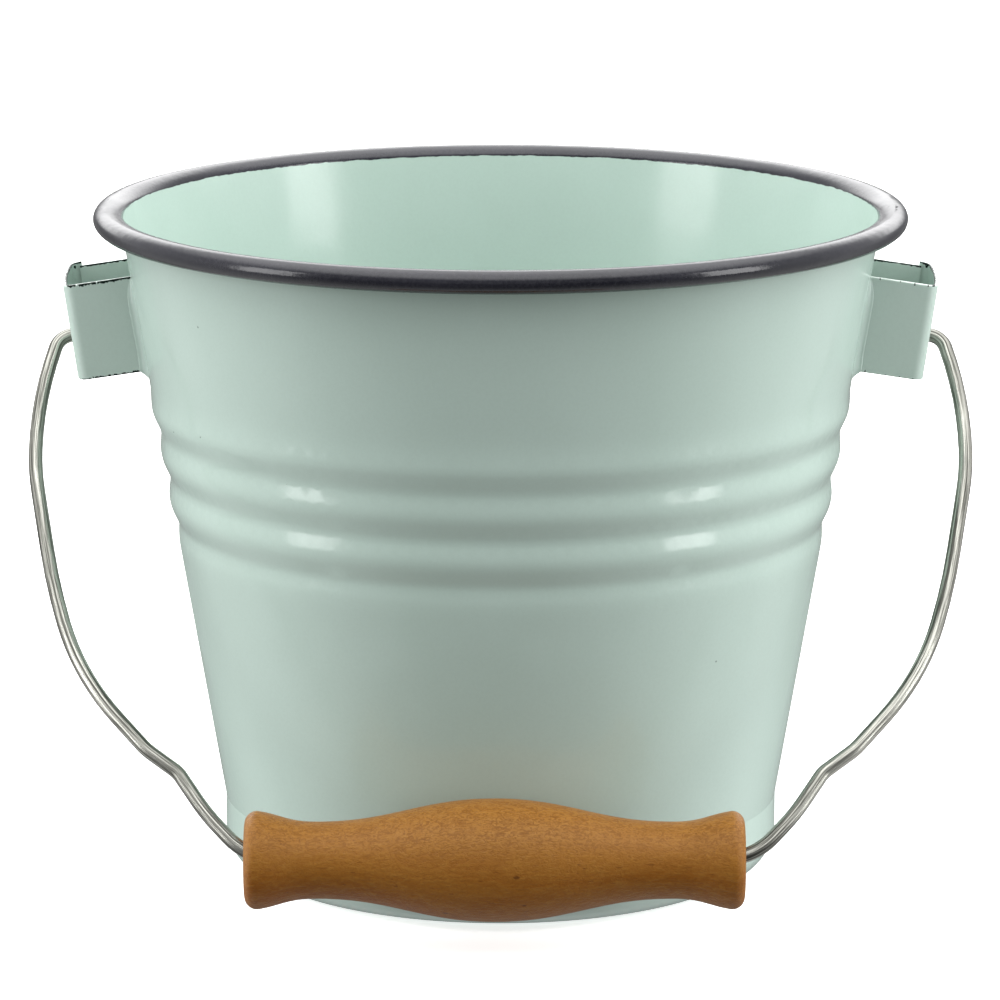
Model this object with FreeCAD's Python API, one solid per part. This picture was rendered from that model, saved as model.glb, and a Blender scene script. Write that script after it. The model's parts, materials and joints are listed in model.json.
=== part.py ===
"""Small enamelled steel bucket with a wire bail and a turned wooden grip.

Frame: millimetres, +Z up, +X to the bucket's right (through the lugs), the front is -Y.
The origin is on the bucket's axis at the surface that it stands on.
The bail is modelled hanging forward, with the grip resting against the front of the wall.
"""
import FreeCAD, Part
import math
import os

V = FreeCAD.Vector
Z_AXIS = V(0, 0, 1)
Y_AXIS = V(0, 1, 0)
X_AXIS = V(1, 0, 0)

# Sheet steel with its enamel on both sides
SHEET = 0.9

# Conical wall, outside surface
WALL_ANGLE_DEG = 9.6        # lean of the wall from vertical
WALL_FOOT_Z = 16.07         # the cone starts here, above the vertical foot
WALL_FOOT_R = 63.4
WALL_TOP_Z = 150.0          # the sheet turns over into the rim here

# Three rolled grooves, each with a soft crest above it
GROOVE_Z = (80.2, 90.9, 101.5)
GROOVE_DEPTH = (0.70, 0.72, 0.56)
GROOVE_WIDTH = 2.6
CREST_HEIGHT = (0.42, 0.42, 0.62)
CREST_WIDTH = 3.2
CREST_RISE = 5.15           # crest centre above its groove's centre
RIB_ZONE = (70.0, 117.0)    # the wall is a plain cone below and above this
RIB_POINTS = 37

# Base pan: pressed dish that carries the wall on a joggled lap
FOOT_CORNER_R = 8.0
PANEL_R = 47.0
PANEL_RISE = 2.5
PRESS_R = 1.75              # inside radius of the step round the raised panel
LAP_HEIGHT = 5.0            # how far the wall's lower edge tucks inside the pan

# Rim: sheet rolled outward round a wire
RIM_R = 89.04               # radius at the centre of the roll
RIM_OUT = 2.96              # half width on the outer side
RIM_HALF_HEIGHT = 2.54
RIM_WIRE_R = 1.60
RIM_WIRE_GAP = 0.02
CURL_END_DEG = 15.0         # the curl stops this far short of the wall

# Lugs: a strip folded into an open channel that carries the bail, in axes out, across, up the wall
LUG_ROOT_Z = 127.4
LUG_LEAN_DEG = 8.4          # the lug stands a little more upright than the wall
LUG_HEIGHT = 21.8
LUG_PROJECTION = 15.6       # to the highest point of the bowed outer face
LUG_SHEET = 1.0
LUG_BOW_R = 82.0
LUG_BOW_ACROSS = 1.0
LUG_FRONT = -11.0           # outside of the front leg
LUG_FRONT_CORNER_R = 2.5
LUG_BACK = 12.2             # outside of the strip's turned end, behind the back leg
LUG_BACK_CORNER_R = 3.6
LUG_TURN_DEG = 82.0         # the turned end stops here
LUG_SKEW_DEG = 4.0          # the strip was folded askew: its front leg sits lower
LUG_LEG_END = 12.5          # the back leg tucks inside the turned end
LUG_HOLE_R = 2.0
LUG_EDGE_R = 0.3

# Weld fillets between lugs and wall
WELD_LEG = 2.0
WELD_TOP = 10.0             # up the wall from the middle of the lug
WELD_FOOT = -12.4

# Bail wire
WIRE_R = 1.6
PIVOT_Z = 122.3
BAIL_LENGTH = 127.4         # pivot axis to the straight part in the grip
LUG_EXIT_X = 96.65          # where the wire starts to bend outside the lug
HOOK_X = 91.0
HOOK_BEND_R = 3.2
HOOK_REACH = 7.0
WALL_CLEARANCE = 0.3        # between grip and wall at rest

# Grip
GRIP_HALF_LENGTH = 54.3
GRIP_OUTLINE = ((0.0, 13.40), (8.0, 12.95), (16.0, 11.60), (24.0, 9.85), (31.0, 8.75),
                (37.5, 8.38), (43.5, 8.75), (48.0, 9.95), (51.0, 10.62))
GRIP_END_FACE_R = 7.9
GRIP_BORE_R = 2.6
GRIP_MOUTH_R = 4.8
GRIP_MOUTH_DEPTH = 9.5
GRIP_DROP = 0.7             # the loose bore lets the grip hang this far below the wire's centre
GRIP_SHIFT = -1.3           # and it sits this far to the left of the middle

LEAN = math.radians(WALL_ANGLE_DEG)
SLOPE = math.tan(LEAN)
GRIP_LENGTH = BAIL_LENGTH + GRIP_DROP


def point(r, z):
    """A point of a turned section, in the half plane X > 0."""
    return V(r, 0, z)


def line(a, b):
    return Part.LineSegment(a, b).toShape()


def arc(a, middle, b):
    return Part.Arc(a, middle, b).toShape()


def circle_arc(centre, radius, start_deg, end_deg, towards=Z_AXIS):
    """Arc with angles from +X towards another axis."""
    def at(deg):
        a = math.radians(deg)
        return centre + X_AXIS * (radius * math.cos(a)) + towards * (radius * math.sin(a))
    return arc(at(start_deg), at((start_deg + end_deg) / 2), at(end_deg))


def revolve(edges):
    """Solid of revolution about the bucket's axis from a closed outline."""
    face = Part.Face(Part.Wire(edges))
    return face.revolve(V(0, 0, 0), Z_AXIS, 360)


def save(shape, name):
    solids = shape.Solids
    assert solids and all(s.isValid() for s in solids), name
    for s in solids:
        assert s.Volume > 0, name
    out = solids[0] if len(solids) == 1 else Part.makeCompound(solids)
    out.exportStep("parts/%s.step" % name)
    print("%-16s solids %d  volume %9.1f mm3" % (name, len(solids), out.Volume))
    return out


def cone_r(z):
    """Outside radius of the plain cone."""
    return WALL_FOOT_R + (z - WALL_FOOT_Z) * SLOPE


def bell(x):
    return math.exp(-x * x)


def rib_offset(z):
    """How far the ribbed wall stands outside the plain cone at height z."""
    total = 0.0
    for zg, depth, height in zip(GROOVE_Z, GROOVE_DEPTH, CREST_HEIGHT):
        total -= depth * bell((z - zg) / GROOVE_WIDTH)
        total += height * bell((z - zg - CREST_RISE) / CREST_WIDTH)
    return total


def rib_curve(inset):
    """Smooth curve through the ribbed part of the wall, going up."""
    low, high = RIB_ZONE
    points = []
    for i in range(RIB_POINTS):
        z = low + (high - low) * i / (RIB_POINTS - 1)
        points.append(point(cone_r(z) + rib_offset(z) - inset, z))
    curve = Part.BSplineCurve()
    tangent = V(SLOPE, 0, 1).normalize()
    curve.interpolate(Points=points, InitialTangent=tangent, FinalTangent=tangent)
    return curve.toShape(), points[0], points[-1]


def make_bucket_wall():
    """Ribbed cone, with its lower edge set in by one sheet to sit inside the pan."""
    inset = SHEET / math.cos(LEAN)
    outer_ribs, outer_low, outer_high = rib_curve(0.0)
    inner_ribs, inner_low, inner_high = rib_curve(inset)
    lap_out = WALL_FOOT_R - SHEET
    lap_in = lap_out - SHEET
    lap_z = WALL_FOOT_Z - LAP_HEIGHT
    step_top = WALL_FOOT_Z + 1.5
    corners = [point(lap_in, lap_z), point(lap_out, lap_z), point(lap_out, WALL_FOOT_Z),
               point(WALL_FOOT_R, WALL_FOOT_Z)]
    edges = [line(a, b) for a, b in zip(corners, corners[1:])]
    edges.append(line(corners[-1], outer_low))
    edges.append(outer_ribs)
    top_out = point(cone_r(WALL_TOP_Z), WALL_TOP_Z)
    top_in = point(cone_r(WALL_TOP_Z) - inset, WALL_TOP_Z)
    edges.append(line(outer_high, top_out))
    edges.append(line(top_out, top_in))
    edges.append(line(top_in, inner_high))
    edges.append(inner_ribs)
    step_in = point(cone_r(step_top) - inset, step_top)
    bend = point(lap_in, WALL_FOOT_Z - 0.4)
    edges.append(line(inner_low, step_in))
    edges.append(line(step_in, bend))
    edges.append(line(bend, corners[0]))
    return revolve(edges)


def make_base_pan():
    """Pressed dish: raised centre panel, standing ring, rounded corner, upright flange."""
    thin = PRESS_R
    thick = PRESS_R + SHEET
    upper_centre = point(PANEL_R, PANEL_RISE - thin)
    drop = thick - (PANEL_RISE - thin)
    reach = math.sqrt((thin + thick) ** 2 - drop ** 2)
    lower_centre = point(PANEL_R + reach, thick)
    turn = math.degrees(math.atan2(drop, reach))
    corner = point(WALL_FOOT_R - FOOT_CORNER_R, FOOT_CORNER_R)
    under_ring = point(lower_centre.x, 0)
    top_ring = point(lower_centre.x, SHEET)
    edges = [
        line(point(0, PANEL_RISE), point(PANEL_R, PANEL_RISE)),
        circle_arc(upper_centre, thin, 90, turn),
        circle_arc(lower_centre, thick, 180 + turn, 270),
        line(under_ring, point(corner.x, 0)),
        circle_arc(corner, FOOT_CORNER_R, 270, 360),
        line(point(WALL_FOOT_R, FOOT_CORNER_R), point(WALL_FOOT_R, WALL_FOOT_Z)),
        line(point(WALL_FOOT_R, WALL_FOOT_Z), point(WALL_FOOT_R - SHEET, WALL_FOOT_Z)),
        line(point(WALL_FOOT_R - SHEET, WALL_FOOT_Z), point(WALL_FOOT_R - SHEET, FOOT_CORNER_R)),
        circle_arc(corner, FOOT_CORNER_R - SHEET, 360, 270),
        line(point(corner.x, SHEET), top_ring),
        circle_arc(lower_centre, thin, 270, 180 + turn),
        circle_arc(upper_centre, thick, turn, 90),
        line(point(PANEL_R, PANEL_RISE + SHEET), point(0, PANEL_RISE + SHEET)),
        line(point(0, PANEL_RISE + SHEET), point(0, PANEL_RISE)),
    ]
    return revolve(edges)


def oval_arc(half_width, start_deg, end_deg):
    """Part of the roll's oval outline, with angles from outward (+X) towards +Z."""
    centre = point(RIM_R, WALL_TOP_Z)
    oval = Part.Ellipse(centre + V(half_width, 0, 0), centre + V(0, 0, RIM_HALF_HEIGHT), centre)
    start, end = math.radians(start_deg), math.radians(end_deg)
    return Part.ArcOfEllipse(oval, start, end).toShape(), oval.value(start), oval.value(end)


def make_rim_bead():
    """The wall's top edge, rolled over the rim wire and tucked back against the wall."""
    wall_in = cone_r(WALL_TOP_Z) - SHEET / math.cos(LEAN)
    hole_r = RIM_WIRE_R + RIM_WIRE_GAP
    centre = point(RIM_R, WALL_TOP_Z)
    outer, curl_tip, _ = oval_arc(RIM_OUT, -(180 - CURL_END_DEG), 90)
    inner = oval_arc(RIM_R - wall_in, 90, 180)[0]
    end = math.radians(180 + CURL_END_DEG)
    hole_tip = centre + V(hole_r * math.cos(end), 0, hole_r * math.sin(end))
    hole_start = centre + V(-hole_r, 0, 0)
    wall_out = point(cone_r(WALL_TOP_Z), WALL_TOP_Z)
    hole = circle_arc(centre, hole_r, 180, -(180 - CURL_END_DEG))
    edges = [outer, inner, line(point(wall_in, WALL_TOP_Z), wall_out), line(wall_out, hole_start),
             hole, line(hole_tip, curl_tip)]
    return revolve(Part.__sortEdges__(edges))


def make_rim_wire():
    return Part.makeTorus(RIM_R, RIM_WIRE_R, point(0, WALL_TOP_Z), Z_AXIS)


def plain_cone():
    """The bucket's plain outside, used to trim what is welded to it."""
    low, high = 30.0, 148.0
    return Part.makeCone(cone_r(low), cone_r(high), high - low, V(0, 0, low), Z_AXIS)


def place_on_wall(shape, side, lean_deg):
    """Put a shape made in the lug's own axes (out, across, up the wall) on one side."""
    turn = FreeCAD.Rotation(Y_AXIS, lean_deg)
    placed = shape.copy()
    placed.Placement = FreeCAD.Placement(point(cone_r(LUG_ROOT_Z), LUG_ROOT_Z), turn)
    placed = placed.cut(plain_cone())
    if side < 0:
        placed = placed.mirror(V(0, 0, 0), X_AXIS)
    return placed


def lug_corner(radius, across):
    """Centre of a corner that touches the bowed outer face, and the angle where it does."""
    reach = LUG_BOW_R - radius
    angle = math.asin((across - LUG_BOW_ACROSS) / reach)
    bow_centre = V(LUG_PROJECTION - LUG_BOW_R, LUG_BOW_ACROSS, 0)
    return bow_centre + V(reach * math.cos(angle), reach * math.sin(angle), 0), math.degrees(angle)


def strip_side(inset):
    """One side of the folded strip in plan, from the root of the front leg to the turned end."""
    root = -6.0
    front, front_deg = lug_corner(LUG_FRONT_CORNER_R, LUG_FRONT + LUG_FRONT_CORNER_R)
    back, back_deg = lug_corner(LUG_BACK_CORNER_R, LUG_BACK - LUG_BACK_CORNER_R)
    bow_centre = V(LUG_PROJECTION - LUG_BOW_R, LUG_BOW_ACROSS, 0)
    leg = LUG_FRONT + inset
    return [
        line(V(root, leg, 0), V(front.x, leg, 0)),
        circle_arc(front, LUG_FRONT_CORNER_R - inset, -90, front_deg, Y_AXIS),
        circle_arc(bow_centre, LUG_BOW_R - inset, front_deg, back_deg, Y_AXIS),
        circle_arc(back, LUG_BACK_CORNER_R - inset, back_deg, LUG_TURN_DEG, Y_AXIS),
    ]


def soften_rims(shape):
    """Round the long edges of both cut rims of a piece of strip."""
    low, high = shape.BoundBox.ZMin, shape.BoundBox.ZMax
    middle = (low + high) / 2
    rims = []
    for e in shape.Edges:
        box = e.BoundBox
        upright = box.ZLength > 5
        outside_wall = box.XMax > 1
        if not upright and outside_wall and e.Length > 1.2 and abs(box.Center.z - middle) > 5:
            rims.append(e)
    return shape.makeFillet(LUG_EDGE_R, rims)


def make_lug(side):
    """Strip folded into an open channel, with a hole for the bail in its outer face."""
    outer, inner = strip_side(0.0), strip_side(LUG_SHEET)
    ends = []
    for pick in (0, -1):
        ends.append(line(outer[pick].Vertexes[pick].Point, inner[pick].Vertexes[pick].Point))
    plan = Part.Face(Part.Wire(Part.__sortEdges__(outer + inner + ends)))
    plan.translate(V(0, 0, -LUG_HEIGHT))
    strip = plan.extrude(V(0, 0, 2 * LUG_HEIGHT))
    slab = Part.makeBox(60, 60, LUG_HEIGHT, V(-30, -30, -LUG_HEIGHT / 2))
    slab.rotate(V(0, 0, 0), X_AXIS, LUG_SKEW_DEG)
    strip = soften_rims(strip.common(slab))
    leg_face = LUG_BACK - LUG_SHEET
    leg = Part.makeBox(LUG_LEG_END + 6, LUG_SHEET, LUG_HEIGHT,
                       V(-6, leg_face - LUG_SHEET, -LUG_HEIGHT / 2))
    lug = strip.fuse(soften_rims(leg)).removeSplitter()
    lug = place_on_wall(lug, side, LUG_LEAN_DEG)
    hole = Part.makeCylinder(LUG_HOLE_R, 20.0, V(side * 88.0, 0, PIVOT_Z), V(side, 0, 0))
    return lug.cut(hole)


def make_lug_weld(side):
    """Hollow fillets down both legs of a lug, outside the channel."""
    beads = []
    wall_r = cone_r(LUG_ROOT_Z)
    for face in (LUG_FRONT, LUG_BACK - LUG_SHEET):
        outward = math.copysign(1, face)
        toe = face + outward * WELD_LEG
        wall_at_face = math.sqrt(wall_r ** 2 - face ** 2) - wall_r
        wall_at_toe = math.sqrt(wall_r ** 2 - toe ** 2) - wall_r
        deep = wall_at_toe - 1.5
        top = V(wall_at_face + WELD_LEG, face, 0)
        hollow = V(wall_at_face + 0.55, face + outward * 0.65, 0)
        foot = V(wall_at_toe, toe, 0)
        edges = [line(V(deep, face, 0), top), arc(top, hollow, foot),
                 line(foot, V(deep, toe, 0)), line(V(deep, toe, 0), V(deep, face, 0))]
        bead = Part.Face(Part.Wire(edges))
        bead.translate(V(0, 0, WELD_FOOT))
        bead = bead.extrude(V(0, 0, WELD_TOP - WELD_FOOT))
        beads += place_on_wall(bead, side, WALL_ANGLE_DEG).Solids
    return Part.makeCompound(beads)


def rest_tilt():
    """Angle of the hanging bail from straight down, with the grip just off the wall."""
    wall_at_pivot = cone_r(PIVOT_Z) * math.cos(LEAN)
    reach = wall_at_pivot + GRIP_OUTLINE[0][1] + WALL_CLEARANCE
    return math.asin(reach / GRIP_LENGTH) - LEAN


TILT = rest_tilt()


def bail_point(x, rise):
    """A point of the bail's own plane: x across, rise measured from the pivot axis."""
    return V(x, rise * math.sin(TILT), PIVOT_Z + rise * math.cos(TILT))


# The right half of the bail from the grip to the lug: ("run", length) or ("bend", radius, degrees),
# where a positive bend turns upward and back over the bucket. None is worked out to close the path.
BAIL_STEPS = (
    ("run", None),
    ("bend", 9.0, 26.0),     # mouth of the grip
    ("bend", 16.0, 22.0),
    ("run", 3.5),
    ("bend", 50.0, 9.0),
    ("run", 6.4),
    ("bend", 7.0, -19.5),    # shoulder
    ("run", 6.3),
    ("bend", 15.0, 11.5),
    ("run", 8.5),
    ("bend", 62.0, 24.0),    # long side curve
    ("bend", 151.0, 7.0),
    ("run", None),
    ("bend", 60.0, 10.0),    # widest place
    ("bend", 93.0, 16.0),
    ("bend", 4.5, 74.0),     # beside the lug
)


def step_rise(step, heading):
    """Rise and sideways travel of one step that starts at a heading in degrees."""
    a = math.radians(heading)
    if step[0] == "run":
        return step[1] * math.sin(a), step[1] * math.cos(a), heading
    b = math.radians(heading + step[2])
    sign = math.copysign(1, step[2])
    r = step[1]
    return sign * r * (math.cos(a) - math.cos(b)), sign * r * (math.sin(b) - math.sin(a)), heading + step[2]


def closed_steps():
    """Fill the two open runs so that the path starts at the middle and ends at the lug."""
    rise = across = heading = 0.0
    open_heading = None
    for step in BAIL_STEPS:
        if step[1] is None:
            open_heading = heading
            continue
        up, over, heading = step_rise(step, heading)
        rise += up
        across += over
    side_run = (BAIL_LENGTH - rise) / math.sin(math.radians(open_heading))
    grip_run = LUG_EXIT_X - across - side_run * math.cos(math.radians(open_heading))
    lengths = [grip_run, side_run]
    return [("run", lengths.pop(0)) if s[1] is None else s for s in BAIL_STEPS]


def bail_half():
    """Centreline of the right half, as edges in the bail's plane, from the middle of the grip."""
    steps = closed_steps()
    steps.append(("run", LUG_EXIT_X - HOOK_X - HOOK_BEND_R))
    steps.append(("bend", HOOK_BEND_R, -90.0))
    steps.append(("run", HOOK_REACH - HOOK_BEND_R))
    x, rise, heading = 0.0, -BAIL_LENGTH, 0.0
    edges = []
    for step in steps:
        up, over, after = step_rise(step, heading)
        start, end = bail_point(x, rise), bail_point(x + over, rise + up)
        if step[0] == "run":
            edges.append(line(start, end))
        else:
            half_step = ("bend", step[1], step[2] / 2)
            half_up, half_over, _ = step_rise(half_step, heading)
            edges.append(arc(start, bail_point(x + half_over, rise + half_up), end))
        x, rise, heading = x + over, rise + up, after
    return edges, x, rise


def make_bail_wire():
    right, tip_x, tip_rise = bail_half()
    left = [e.mirror(V(0, 0, 0), X_AXIS) for e in right]
    path = Part.Wire(Part.__sortEdges__(left + right))
    along = V(0, math.sin(TILT), math.cos(TILT))
    ring = Part.Wire(Part.makeCircle(WIRE_R, bail_point(-tip_x, tip_rise), along))
    wire = path.makePipeShell([ring], True, False)
    print("bail wire length %.1f mm, rest tilt %.2f deg" % (path.Length, math.degrees(TILT)))
    print("section times length %.1f mm3" % (math.pi * WIRE_R ** 2 * path.Length))
    return wire


def make_grip():
    """Turned grip with a bore that opens a little at each end for the bend in the wire."""
    side = [V(x, 0, r) for x, r in GRIP_OUTLINE]
    full = [V(-p.x, 0, p.z) for p in reversed(side[1:])] + side
    curve = Part.BSplineCurve()
    curve.interpolate(full)
    end = GRIP_HALF_LENGTH
    last = side[-1]
    corner = V(end - 0.75, 0, last.z - 0.75)
    face_edge = V(end, 0, GRIP_END_FACE_R)

    def flip(p):
        return V(-p.x, 0, p.z)

    mouth = V(end, 0, GRIP_MOUTH_R)
    throat = V(end - GRIP_MOUTH_DEPTH, 0, GRIP_BORE_R)
    edges = [
        curve.toShape(),
        arc(last, corner, face_edge),
        line(face_edge, mouth),
        line(mouth, throat),
        line(throat, flip(throat)),
        line(flip(throat), flip(mouth)),
        line(flip(mouth), flip(face_edge)),
        arc(flip(face_edge), flip(corner), flip(last)),
    ]
    section = Part.Face(Part.Wire(Part.__sortEdges__(edges)))
    grip = section.revolve(V(0, 0, 0), X_AXIS, 360)
    grip.translate(bail_point(GRIP_SHIFT, -GRIP_LENGTH))
    return grip


def main():
    os.makedirs("parts", exist_ok=True)
    save(make_bucket_wall(), "bucket_wall")
    save(make_base_pan(), "base_pan")
    save(make_rim_bead(), "rim_bead")
    save(make_rim_wire(), "rim_wire")
    for name, side in (("left", -1), ("right", 1)):
        save(make_lug(side), "lug_" + name)
        save(make_lug_weld(side), "lug_weld_" + name)
    save(make_bail_wire(), "bail_wire")
    save(make_grip(), "grip")
    grip_centre = bail_point(GRIP_SHIFT, -GRIP_LENGTH)
    print("grip centre (%.3f, %.3f, %.3f) mm" % (grip_centre.x, grip_centre.y, grip_centre.z))


main()
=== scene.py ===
"""Looks for the enamelled bucket: enamel, steel wire, turned wood, soft studio light and the camera."""
import json
import math

import bmesh
import bpy
from mathutils import Euler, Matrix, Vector


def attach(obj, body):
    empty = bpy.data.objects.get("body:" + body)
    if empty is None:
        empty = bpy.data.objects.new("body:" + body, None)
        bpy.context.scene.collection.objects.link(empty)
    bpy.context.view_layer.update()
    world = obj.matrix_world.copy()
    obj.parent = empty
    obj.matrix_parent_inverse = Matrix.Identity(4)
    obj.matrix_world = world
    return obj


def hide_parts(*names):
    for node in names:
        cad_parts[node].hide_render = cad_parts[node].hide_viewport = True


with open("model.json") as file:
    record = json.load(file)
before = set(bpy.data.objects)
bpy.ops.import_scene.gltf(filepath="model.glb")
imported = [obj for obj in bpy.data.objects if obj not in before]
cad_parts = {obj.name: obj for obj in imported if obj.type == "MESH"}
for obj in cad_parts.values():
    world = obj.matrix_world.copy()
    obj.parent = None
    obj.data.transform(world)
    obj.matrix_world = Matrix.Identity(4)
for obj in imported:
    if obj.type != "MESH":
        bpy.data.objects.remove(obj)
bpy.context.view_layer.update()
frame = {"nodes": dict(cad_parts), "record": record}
nodes = frame["nodes"]
scene = bpy.context.scene
scene.view_settings.view_transform = "Standard"

MM = 0.001
ENAMEL_IOR = 1.52
MINT_PALE, MINT_DEEP = (0.455, 0.573, 0.518, 1), (0.43, 0.547, 0.490, 1)

# Bucket wall and lugs, in millimetres
WALL_SLOPE = math.tan(math.radians(9.6))
WALL_FOOT_R, WALL_FOOT_Z = 63.4, 16.07
LUG_ROOT_Z = 127.4
LUG_ROOT_R = WALL_FOOT_R + (LUG_ROOT_Z - WALL_FOOT_Z) * WALL_SLOPE
LUG_LEAN = math.radians(8.4)
LUG_SKEW = math.radians(4.0)
LUG_HALF_HEIGHT = 10.9
LUG_FRONT, LUG_BACK_LEG = -11.0, 11.2
LUG_BOW = (-66.4, 1.0, 82.0)            # centre out, centre across and radius of the bowed outer face
LUG_BACK_CORNER = (11.63, 8.6, 3.6)
FILLETS = (                             # name, face of the leg, top and foot
    ("_front", LUG_FRONT, 137.1, 115.9),
    ("_back", LUG_BACK_LEG, 137.9, 116.6),
)
FILLET_ROWS, FILLET_TAIL = 30, 2.3

# Bail, in millimetres
PIVOT_Z = 122.3
BAIL_LENGTH = 127.4
TILT = math.radians(37.56)
WIRE_R = 1.6
WIRE_SIDES = 24
WIRE_TIP = ((0.0, 1.0), (0.4, 0.8), (0.55, 0.45))   # distance past the last point, share of the radius
GRIP_Z = 20.75
GRIP_TONE_X = -0.8                                  # the paler tone of the two ends is measured from here
LUG_EXIT_X, HOOK_X, HOOK_BEND_R, HOOK_REACH = 96.65, 91.0, 3.2, 7.0
BAIL_STEPS = (
    ("run", None), ("bend", 9.0, 26.0), ("bend", 16.0, 22.0), ("run", 3.5), ("bend", 50.0, 9.0),
    ("run", 6.4), ("bend", 7.0, -19.5), ("run", 6.3), ("bend", 15.0, 11.5), ("run", 8.5),
    ("bend", 62.0, 24.0), ("bend", 151.0, 7.0), ("run", None), ("bend", 60.0, 10.0),
    ("bend", 93.0, 16.0), ("bend", 4.5, 74.0),
)


# ---------------------------------------------------------------- node helpers

class Nodes:
    """A small helper to build a node material in few words."""

    def __init__(self, name):
        self.material = bpy.data.materials.new(name)
        self.material.use_nodes = True
        self.tree = self.material.node_tree
        self.tree.nodes.clear()
        self.out = self.tree.nodes.new("ShaderNodeOutputMaterial")
        self.shader = self.add("ShaderNodeBsdfPrincipled")
        self.link(self.shader.outputs[0], self.out.inputs["Surface"])

    def add(self, kind, settings=None, **inputs):
        node = self.tree.nodes.new(kind)
        for key, value in (settings or {}).items():
            setattr(node, key, value)
        for key, value in inputs.items():
            self.put(node.inputs[key.replace("_", " ")], value)
        return node

    def link(self, a, b):
        self.tree.links.new(a, b)

    def put(self, socket, value):
        if isinstance(value, bpy.types.NodeSocket):
            self.link(value, socket)
        else:
            socket.default_value = value

    def set(self, name, value):
        self.put(self.shader.inputs[name], value)

    def math(self, operation, a, b=0.0, c=0.0):
        node = self.add("ShaderNodeMath", {"operation": operation})
        for socket, value in zip(node.inputs, (a, b, c)):
            self.put(socket, value)
        return node.outputs[0]

    def ramp(self, factor, low, high, to_low=0.0, to_high=1.0):
        node = self.add("ShaderNodeMapRange", {"interpolation_type": "SMOOTHSTEP"})
        for key, value in (("Value", factor), ("From Min", low), ("From Max", high),
                           ("To Min", to_low), ("To Max", to_high)):
            self.put(node.inputs[key], value)
        return node.outputs[0]

    def mix(self, factor, a, b):
        node = self.add("ShaderNodeMix", {"data_type": "RGBA"})
        self.put(node.inputs[0], factor)
        self.put(node.inputs[6], a)
        self.put(node.inputs[7], b)
        return node.outputs[2]

    def place(self, scale=(1, 1, 1)):
        """Position in the part's frame, multiplied axis by axis."""
        coords = self.add("ShaderNodeTexCoord")
        mapping = self.add("ShaderNodeMapping", Vector=coords.outputs["Object"])
        mapping.inputs["Scale"].default_value = scale
        return mapping.outputs[0]

    def split(self, vector):
        node = self.add("ShaderNodeSeparateXYZ", Vector=vector)
        return node.outputs[0], node.outputs[1], node.outputs[2]

    def join(self, x, y, z):
        return self.add("ShaderNodeCombineXYZ", X=x, Y=y, Z=z).outputs[0]

    def noise(self, vector, scale, detail=3.0, roughness=0.5, distortion=0.0):
        node = self.add("ShaderNodeTexNoise", Vector=vector)
        node.inputs["Scale"].default_value = scale
        node.inputs["Detail"].default_value = detail
        node.inputs["Roughness"].default_value = roughness
        node.inputs["Distortion"].default_value = distortion
        return node.outputs[0]

    def specks(self, vector, scale, size, share):
        """1 inside small round specks, in a share of the cells of a random pattern."""
        cells = self.add("ShaderNodeTexVoronoi", Vector=vector)
        cells.inputs["Scale"].default_value = scale
        red = self.add("ShaderNodeSeparateColor", Color=cells.outputs["Color"]).outputs[0]
        inside = self.ramp(cells.outputs["Distance"], size, size * 0.6)
        chosen = self.math("LESS_THAN", red, share)
        return self.math("MULTIPLY", inside, chosen)

    def bump(self, height, strength, distance, normal=None):
        node = self.add("ShaderNodeBump", Height=height)
        node.inputs["Strength"].default_value = strength
        node.inputs["Distance"].default_value = distance
        if normal is not None:
            self.link(normal, node.inputs["Normal"])
        return node.outputs[0]


# ---------------------------------------------------------------- materials

def gloss(m, roughness):
    """Gloss, faint orange peel and a few pinholes. It gives the pinholes back for the colour."""
    where = m.place()
    pits = m.specks(where, 150.0, 0.045, 0.16)
    wear = m.noise(where, 60.0, 4.0)
    m.set("Roughness", m.ramp(wear, 0.3, 0.75, roughness, roughness + 0.10))
    m.set("IOR", ENAMEL_IOR)
    waves = m.bump(m.noise(where, 55.0, 1.0), 0.18, 0.0012)
    peel = m.bump(m.noise(where, 620.0, 2.0), 0.06, 0.00035, waves)
    m.set("Normal", m.bump(pits, 0.3, -0.0002, peel))
    return pits


def pale_coat(m, colour, roughness):
    """A glossy mint coat: fine grain and dark pinholes over a base colour."""
    pits = gloss(m, roughness)
    grain = m.noise(m.place(), 1500.0, 1.0)
    toned = m.mix(m.ramp(grain, 0.35, 0.7, 0.0, 0.05), colour, (0.30, 0.36, 0.32, 1))
    m.set("Base Color", m.mix(m.math("MULTIPLY", pits, 0.55), toned, (0.06, 0.07, 0.065, 1)))


def mint_tone(m):
    cloud = m.noise(m.place((1, 1, 0.6)), 22.0, 3.0)
    return m.mix(m.ramp(cloud, 0.3, 0.7), MINT_DEEP, MINT_PALE)


def mint_enamel():
    m = Nodes("mint_enamel_gloss")
    pale_coat(m, mint_tone(m), 0.13)
    return m.material


def near_line(m, a, b, reach):
    """1 close to the line where both distances are nought."""
    far = m.math("SQRT", m.math("ADD", m.math("POWER", a, 2.0), m.math("POWER", b, 2.0)))
    return m.math("LESS_THAN", far, reach)


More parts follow.
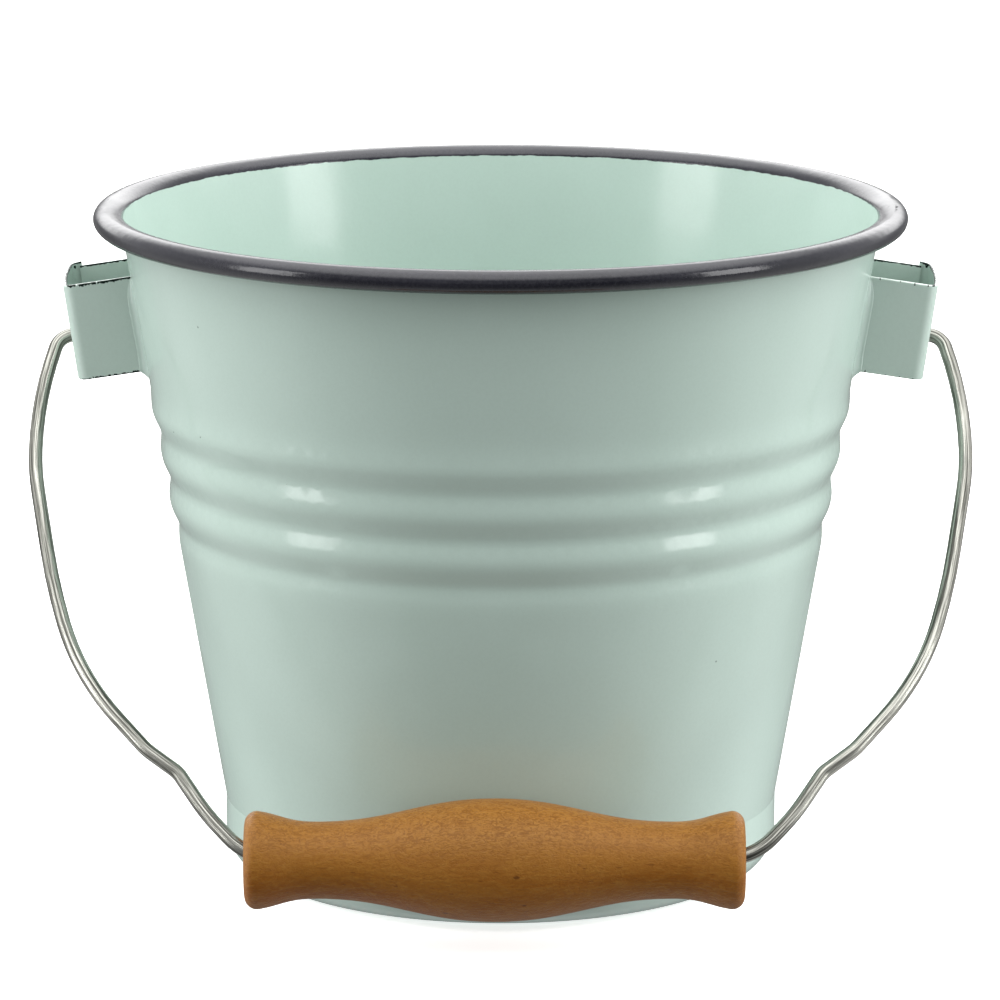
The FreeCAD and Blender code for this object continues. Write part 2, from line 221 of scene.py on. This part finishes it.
def lug_enamel(dashes_low, dashes_high):
    """Mint enamel that drew back from the cut edges of the strip and left a ragged dark line."""
    m = Nodes("mint_enamel_on_lug")
    x, y, z = m.split(m.place((1000, 1000, 1000)))
    aside = m.math("SUBTRACT", m.math("ABSOLUTE", x), LUG_ROOT_R)
    raised = m.math("SUBTRACT", z, LUG_ROOT_Z)
    cos, sin = math.cos(LUG_LEAN), math.sin(LUG_LEAN)
    out = m.math("SUBTRACT", m.math("MULTIPLY", aside, cos), m.math("MULTIPLY", raised, sin))
    up = m.math("ADD", m.math("MULTIPLY", aside, sin), m.math("MULTIPLY", raised, cos))
    skewed = m.math("SUBTRACT", up, m.math("MULTIPLY", y, math.tan(LUG_SKEW)))

    def ring(centre_out, centre_across, radius):
        across = m.math("POWER", m.math("SUBTRACT", y, centre_across), 2.0)
        outward = m.math("POWER", m.math("SUBTRACT", out, centre_out), 2.0)
        return m.math("SUBTRACT", m.math("SQRT", m.math("ADD", across, outward)), radius)

    rough = m.noise(m.place(), 1100.0, 3.0, 0.7)
    reach = m.ramp(rough, 0.3, 0.7, 0.16, 0.66)
    inner_reach = m.ramp(rough, 0.3, 0.7, 0.18, 0.52)
    above = m.math("SUBTRACT", skewed, LUG_HALF_HEIGHT)
    below = m.math("ADD", skewed, LUG_HALF_HEIGHT)
    front_top = near_line(m, m.math("SUBTRACT", y, LUG_FRONT), above, reach)
    front_low = near_line(m, m.math("SUBTRACT", y, LUG_FRONT), below, reach)
    bow_out, bow_across, bow_r = LUG_BOW
    on_bow = near_line(m, ring(bow_out, bow_across, bow_r - 1.0), above, inner_reach)
    turn_out, turn_across, turn_r = LUG_BACK_CORNER
    on_turn = near_line(m, ring(turn_out, turn_across, turn_r - 1.0), above, inner_reach)
    on_turn = m.math("MULTIPLY", on_turn, m.math("GREATER_THAN", y, 8.9))
    on_bow = m.math("MULTIPLY", on_bow, m.math("LESS_THAN", y, 8.9))
    on_leg = near_line(m, m.math("SUBTRACT", y, LUG_BACK_LEG - 1.0),
                       m.math("SUBTRACT", up, LUG_HALF_HEIGHT), inner_reach)
    inner = m.math("MAXIMUM", m.math("MAXIMUM", on_bow, on_turn), on_leg)
    along = m.noise(m.join(out, 0.0, 0.0), 0.9, 2.0)
    dashes = m.ramp(along, dashes_low, dashes_high)
    front = m.math("MULTIPLY", m.math("MAXIMUM", front_top, front_low), m.math("GREATER_THAN", dashes, 0.5))
    inner = m.math("MULTIPLY", inner, m.math("GREATER_THAN", m.noise(m.join(out, y, 0.0), 0.8, 1.0), 0.33))
    bare = m.math("MAXIMUM", front, inner)
    pale = m.ramp(m.math("ABSOLUTE", skewed), LUG_HALF_HEIGHT - 0.25, LUG_HALF_HEIGHT - 0.08, 0.22, 0.7)
    tone = m.mix(pale, mint_tone(m), (0.66, 0.76, 0.70, 1))
    pale_coat(m, m.mix(bare, tone, (0.003, 0.010, 0.008, 1)), 0.16)
    m.set("Specular IOR Level", m.math("SUBTRACT", 0.5, m.math("MULTIPLY", bare, 0.42)))
    return m.material


def grey_enamel():
    """Charcoal rim coat over the mint, with a slightly uneven border on the inside."""
    m = Nodes("grey_enamel_gloss")
    x, y, z = m.split(m.place((1000, 1000, 1000)))
    radius = m.math("SQRT", m.math("ADD", m.math("POWER", x, 2.0), m.math("POWER", y, 2.0)))
    ragged = m.math("ADD", m.noise(m.place(), 55.0, 2.0), m.noise(m.place(), 420.0, 2.0))
    height = m.math("ADD", z, m.math("MULTIPLY", m.math("SUBTRACT", ragged, 1.0), 0.55))
    border = m.math("MAXIMUM", m.ramp(height, 150.25, 150.45), m.math("GREATER_THAN", radius, 87.0))
    cloud = m.ramp(m.noise(m.place(), 38.0, 4.0), 0.3, 0.7)
    grey = m.mix(cloud, (0.006, 0.0065, 0.012, 1), (0.014, 0.014, 0.022, 1))
    coat = m.mix(border, mint_tone(m), grey)
    gloss(m, 0.12)
    grain = m.noise(m.place(), 1500.0, 1.0)
    m.set("Base Color", m.mix(m.ramp(grain, 0.3, 0.8, 0.0, 0.05), coat, (0.20, 0.20, 0.21, 1)))
    return m.material


def steel():
    """Drawn wire: fine lines along its length, read from the tube's own lengthwise map."""
    m = Nodes("drawn_steel")
    u, v, _ = m.split(m.add("ShaderNodeUVMap", {"uv_map": "lengthwise"}).outputs[0])
    angle = m.math("MULTIPLY", u, 2 * math.pi)
    around_a, around_b = m.math("COSINE", angle), m.math("SINE", angle)
    coarse = m.noise(m.join(around_a, around_b, m.math("MULTIPLY", v, 0.10)), 2.8, 3.0, 0.55)
    fine = m.noise(m.join(around_a, around_b, m.math("MULTIPLY", v, 0.12)), 9.0, 2.0, 0.6)
    lines = m.math("ADD", m.math("MULTIPLY", coarse, 0.6), m.math("MULTIPLY", fine, 0.4))
    bright = m.ramp(lines, 0.40, 0.60)
    tone = m.mix(bright, (0.085, 0.085, 0.074, 1), (0.52, 0.52, 0.47, 1))
    marks = m.specks(m.join(around_a, around_b, m.math("MULTIPLY", v, 12.0)), 2.2, 0.10, 0.3)
    m.set("Base Color", m.mix(m.math("MULTIPLY", marks, 0.5), tone, (0.12, 0.11, 0.09, 1)))
    m.set("Metallic", 1.0)
    m.set("Roughness", m.ramp(lines, 0.35, 0.65, 0.42, 0.24))
    m.set("Normal", m.bump(lines, 0.35, 0.0003))
    return m.material


def wood():
    """Turned close-grained hardwood: fibres along X, soft figure, short dark pores, satin varnish, with
    painted top light: the colour runs paler and more golden towards the top, and the curl figure is painted
    stronger there.
    """
    m = Nodes("turned_wood")
    x, _, z = m.split(m.place((1000, 1000, 1000)))
    bands = m.noise(m.place((16, 75, 90)), 1.0, 4.0, 0.6, 0.9)
    sway = m.math("MULTIPLY", m.math("SUBTRACT", bands, 0.5), 14.0)
    # Painted top light: dark red-brown below to paler golden on top, the height bent by the bands.
    side = m.math("ADD", m.math("SUBTRACT", z, GRIP_Z), sway)
    tone = m.mix(m.ramp(side, -13.0, 13.0), (0.232, 0.068, 0.001, 1), (0.270, 0.125, 0.026, 1))
    tone = m.mix(m.ramp(bands, 0.35, 0.62, 0.0, 0.45), tone, (0.29, 0.118, 0.014, 1))
    fibres = m.noise(m.place((330, 1500, 1500)), 1.0, 3.0, 0.65, 0.5)
    tone = m.mix(m.ramp(fibres, 0.40, 0.70, 0.0, 0.40), tone, (0.36, 0.172, 0.034, 1))
    curls = m.noise(m.place((700, 1250, 1250)), 1.0, 2.0, 0.6, 1.8)
    # Painted top light: the real curl figure is drawn stronger towards the top, where light catches it.
    upper = m.ramp(z, GRIP_Z, GRIP_Z + 11.0, 0.35, 1.0)
    curls_painted_stronger_on_top = m.math("MULTIPLY", m.ramp(curls, 0.38, 0.58, 0.65, 0.0), upper)
    tone = m.mix(curls_painted_stronger_on_top, tone, (0.14, 0.045, 0.003, 1))
    pores = m.noise(m.place((260, 2400, 2400)), 1.0, 1.0)
    tone = m.mix(m.ramp(pores, 0.68, 0.76, 0.0, 0.55), tone, (0.11, 0.03, 0.004, 1))
    spots = m.specks(m.place((0.5, 1, 1)), 120.0, 0.060, 0.30)
    tone = m.mix(m.math("MULTIPLY", spots, 0.7), tone, (0.07, 0.018, 0.003, 1))
    along = m.math("ABSOLUTE", m.math("SUBTRACT", x, GRIP_TONE_X))
    end = m.ramp(along, 53.2, 54.2, 0.0, 0.10)
    m.set("Base Color", m.mix(end, tone, (0.56, 0.32, 0.18, 1)))
    m.set("Roughness", m.ramp(fibres, 0.3, 0.7, 0.44, 0.34))
    m.set("Specular IOR Level", 0.18)
    m.set("Normal", m.bump(fibres, 0.35, 0.0002, m.bump(curls, 0.5, 0.0003)))
    return m.material


# ---------------------------------------------------------------- mesh helpers

def piece_from_rings(name, rings, material, uvs=None):
    """Closed skin over a row of rings with equal numbers of points (in millimetres)."""
    bm = bmesh.new()
    rows = [[bm.verts.new(Vector(p) * MM) for p in ring] for ring in rings]
    layer = bm.loops.layers.uv.new("lengthwise") if uvs else None
    count = len(rows[0])
    for i in range(len(rows) - 1):
        for j in range(count):
            k = (j + 1) % count
            face = bm.faces.new((rows[i][j], rows[i][k], rows[i + 1][k], rows[i + 1][j]))
            face.smooth = True
            if layer:
                corners = ((j, i), (j + 1, i), (j + 1, i + 1), (j, i + 1))
                for loop, (around, row) in zip(face.loops, corners):
                    loop[layer].uv = (around / count, uvs[row])
    for row in (rows[0], rows[-1]):
        centre = bm.verts.new(sum((v.co for v in row), Vector()) / count)
        for j in range(count):
            cap = bm.faces.new((row[j], row[(j + 1) % count], centre))
            cap.smooth = True
            if layer:
                for loop in cap.loops:
                    loop[layer].uv = (j / count, uvs[0])
    bmesh.ops.recalc_face_normals(bm, faces=bm.faces)
    mesh = bpy.data.meshes.new(name)
    bm.to_mesh(mesh)
    bm.free()
    mesh.materials.append(material)
    piece = bpy.data.objects.new(name, mesh)
    scene.collection.objects.link(piece)
    return piece


# ---------------------------------------------------------------- bail wire

def step_travel(step, heading):
    """Rise and sideways travel of one step, and the heading after it."""
    a = math.radians(heading)
    if step[0] == "run":
        return step[1] * math.sin(a), step[1] * math.cos(a), heading
    after = heading + step[2]
    b = math.radians(after)
    r = math.copysign(step[1], step[2])
    return r * (math.cos(a) - math.cos(b)), r * (math.sin(b) - math.sin(a)), after


def closed_steps():
    """The bail's steps with the two open runs filled in, and the hook inside the lug."""
    rise = across = heading = 0.0
    open_heading = 0.0
    for step in BAIL_STEPS:
        if step[1] is None:
            open_heading = math.radians(heading)
            continue
        up, over, heading = step_travel(step, heading)
        rise += up
        across += over
    side_run = (BAIL_LENGTH - rise) / math.sin(open_heading)
    lengths = [LUG_EXIT_X - across - side_run * math.cos(open_heading), side_run]
    steps = [("run", lengths.pop(0)) if step[1] is None else step for step in BAIL_STEPS]
    steps.append(("run", LUG_EXIT_X - HOOK_X - HOOK_BEND_R))
    steps.append(("bend", HOOK_BEND_R, -90.0))
    steps.append(("run", HOOK_REACH - HOOK_BEND_R))
    return steps


def bail_line():
    """Points (x, rise) of the right half, from the middle of the grip to the hook's end."""
    x, rise, heading = 0.0, -BAIL_LENGTH, 0.0
    line = [(x, rise)]
    for step in closed_steps():
        size = step[1] if step[0] == "run" else 2.2 * abs(step[2])
        parts = max(1, math.ceil(size / 6.0))
        for _ in range(parts):
            small = (step[0], step[1] / parts) if step[0] == "run" else ("bend", step[1], step[2] / parts)
            up, over, heading = step_travel(small, heading)
            x, rise = x + over, rise + up
            line.append((x, rise))
    return line


def make_bail():
    """A round tube along the bail, which turns in the lugs about the pivot."""
    right = bail_line()
    line = [(-x, rise) for x, rise in reversed(right[1:])] + right
    across, rising = Vector((1, 0, 0)), Vector((0, math.sin(TILT), math.cos(TILT)))
    side = across.cross(rising)
    pivot = Vector((0, 0, PIVOT_Z))
    points = [pivot + across * x + rising * rise for x, rise in line]
    rings, lengths, gone = [], [], 0.0
    for i, p in enumerate(points):
        before, after = points[max(i - 1, 0)], points[min(i + 1, len(points) - 1)]
        along = (after - before).normalized()
        out = along.cross(side).normalized()
        gone += (p - before).length
        steps = WIRE_TIP[:1]
        if i == 0:
            steps = [(-shift, scale) for shift, scale in reversed(WIRE_TIP)]
        if i == len(points) - 1:
            steps = WIRE_TIP
        for shift, scale in steps:
            ring = []
            for k in range(WIRE_SIDES):
                a = 2 * math.pi * k / WIRE_SIDES
                ring.append(p + along * shift + (out * math.cos(a) + side * math.sin(a)) * WIRE_R * scale)
            rings.append(ring)
            lengths.append(gone / 10.0)
    wire = piece_from_rings("bail_wire_drawn", rings, STEEL, lengths)
    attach(wire, "bail")
    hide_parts("bail_wire")


# ---------------------------------------------------------------- enamel fillets beside the lugs

def cone_r(z):
    return WALL_FOOT_R + (z - WALL_FOOT_Z) * WALL_SLOPE


def fillet_ring(side, face, outward, z, radius, fade):
    """Section of a hollow fillet between a leg's face and the wall, at one height."""
    wall = cone_r(z)
    across = face + outward * radius
    reach = wall + radius
    centre = Vector((math.sqrt(reach ** 2 - across ** 2), across))
    from_leg = math.atan2(-outward, 0)
    to_wall = math.atan2(-centre.y, -centre.x)
    turn = (to_wall - from_leg + math.pi) % (2 * math.pi) - math.pi
    skin = []
    for i in range(9):
        a = from_leg + turn * i / 8
        skin.append(centre + radius * Vector((math.cos(a), math.sin(a))))
    skin.reverse()
    skin.append(Vector((skin[-1].x, face - outward * 0.95)))
    settled = []
    for p in skin:
        over = (p.length - wall) * fade - (1 - fade) * 0.12
        settled.append(p.normalized() * (wall + over))
    buried = [settled[-1].normalized() * (wall - 0.5), settled[0].normalized() * (wall - 0.5)]
    return [(side * p.x, p.y, z) for p in settled + buried]


def fillet_rings(side, face, top, foot):
    """Rings from the leg's top to below its foot, where the fillet thins out into the wall."""
    rings = []
    for i in range(FILLET_ROWS + 1):
        z = top + (foot - FILLET_TAIL - top) * i / FILLET_ROWS
        grown = min(1.0, (top - z) / 6.0)
        radius = 0.25 + 1.6 * math.sin(grown * math.pi / 2) + 0.35 * max(0.0, (foot + 4.0 - z) / 4.0)
        below = max(0.0, (foot - z) / FILLET_TAIL)
        rings.append(fillet_ring(side, face, math.copysign(1, face), z, radius, (1 - below) ** 1.8))
    return rings


def make_fillets(side, tag):
    """The two enamel fillets of one lug, in place of its plain weld."""
    for where, face, top, foot in FILLETS:
        rings = fillet_rings(side, face, top, foot)
        piece = piece_from_rings("enamel_fillet_" + tag + where, rings, MINT)
        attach(piece, "bucket")
        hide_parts("lug_weld_" + tag)


# ---------------------------------------------------------------- floor, light, camera

def make_floor():
    """Pale ground that shows the bucket's soft shadow but doesn't light the bucket."""
    bpy.ops.mesh.primitive_plane_add(size=24.0, location=(0, 0, -0.00005))
    floor = bpy.context.object
    floor.name = "floor"
    m = Nodes("pale_floor")
    m.set("Base Color", (0.93, 0.93, 0.93, 1))
    m.set("Roughness", 0.7)
    m.set("Emission Color", (1, 1, 1, 1))
    m.set("Emission Strength", 0.6)
    floor.data.materials.append(m.material)
    floor.visible_diffuse = False
    floor.visible_glossy = False


def area_light(name, place, target, size, power, mirrored=True):
    data = bpy.data.lights.new(name, "AREA")
    data.shape = "RECTANGLE"
    data.size, data.size_y = size
    data.energy = power
    lamp = bpy.data.objects.new(name, data)
    scene.collection.objects.link(lamp)
    lamp.location = place
    lamp.rotation_euler = (Vector(target) - Vector(place)).to_track_quat("-Z", "Y").to_euler()
    lamp.visible_camera = False
    lamp.visible_glossy = mirrored


ROOM_FRONT, ROOM_SIDE, ROOM_BACK, ROOM_ABOVE = 0.34, 0.85, 3.0, 2.8
ROOM_BELOW, ROOM_LOW, ROOM_LOW_BACK = 0.15, 0.76, 0.25


def make_world():
    """A pale room: dim in front and below, brighter at the sides, brightest overhead and high behind."""
    world = bpy.data.worlds.new("studio")
    scene.world = world
    world.use_nodes = True
    tree = world.node_tree
    background = tree.nodes["Background"]
    background.inputs["Color"].default_value = (1, 1, 1, 1)
    coords = tree.nodes.new("ShaderNodeTexCoord")
    split = tree.nodes.new("ShaderNodeSeparateXYZ")
    tree.links.new(coords.outputs["Generated"], split.inputs[0])

    def blend(value, low, high, a, b):
        node = tree.nodes.new("ShaderNodeMapRange")
        node.interpolation_type = "SMOOTHSTEP"
        tree.links.new(value, node.inputs["Value"])
        node.inputs["From Min"].default_value = low
        node.inputs["From Max"].default_value = high
        for key, part in (("To Min", a), ("To Max", b)):
            if isinstance(part, float):
                node.inputs[key].default_value = part
            else:
                tree.links.new(part, node.inputs[key])
        return node.outputs[0]

    beside = blend(split.outputs["Y"], -0.85, 0.05, ROOM_FRONT, ROOM_SIDE)
    behind = blend(split.outputs["Z"], 0.02, 0.24, ROOM_LOW_BACK, ROOM_BACK)
    level = blend(split.outputs["Y"], 0.60, 0.92, beside, behind)
    upper = blend(split.outputs["Z"], 0.50, 0.90, level, ROOM_ABOVE)
    lower = blend(split.outputs["Y"], -0.85, 0.05, ROOM_BELOW, ROOM_LOW)
    lower = blend(split.outputs["Y"], 0.4, 0.85, lower, ROOM_LOW_BACK)
    whole = blend(split.outputs["Z"], -0.15, 0.1, lower, upper)
    tree.links.new(whole, background.inputs["Strength"])


def make_camera():
    """A long lens in front of the bucket, a little above its rim."""
    data = bpy.data.cameras.new("camera")
    data.lens = 196.75
    data.sensor_width = 36.0
    data.shift_x = -0.0006
    data.clip_start, data.clip_end = 0.05, 50.0
    camera = bpy.data.objects.new("camera", data)
    scene.collection.objects.link(camera)
    camera.location = (0.0, -1.2216, 0.34933)
    camera.rotation_euler = Euler((math.pi / 2 - 0.214, 0, 0))
    scene.camera = camera


# ---------------------------------------------------------------- build

MINT, GREY, STEEL, WOOD = mint_enamel(), grey_enamel(), steel(), wood()
FINISH = {"mint_enamel": MINT, "grey_enamel": GREY, "steel_wire": STEEL, "grip_wood": WOOD}
for subpart in frame["record"]["subparts"]:
    nodes[subpart["node"]].data.materials[0] = FINISH[subpart["material_slot"]]
nodes["lug_left"].data.materials[0] = lug_enamel(0.36, 0.40)
nodes["lug_right"].data.materials[0] = lug_enamel(0.60, 0.64)

make_bail()
for side, tag in ((-1, "left"), (1, "right")):
    make_fillets(side, tag)

make_floor()
make_world()
for side, tag, soft, window in ((-1, "_left", 8.0, 3.6), (1, "_right", 9.5, 3.8)):
    area_light("soft" + tag, (1.1 * side, 0.08, 0.5), (0, 0, 0.1), (0.8, 1.1), soft, mirrored=False)
    area_light("window" + tag, (0.95 * side, -0.44, 0.24), (0, 0, 0.12), (0.34, 0.75), window)
make_camera()
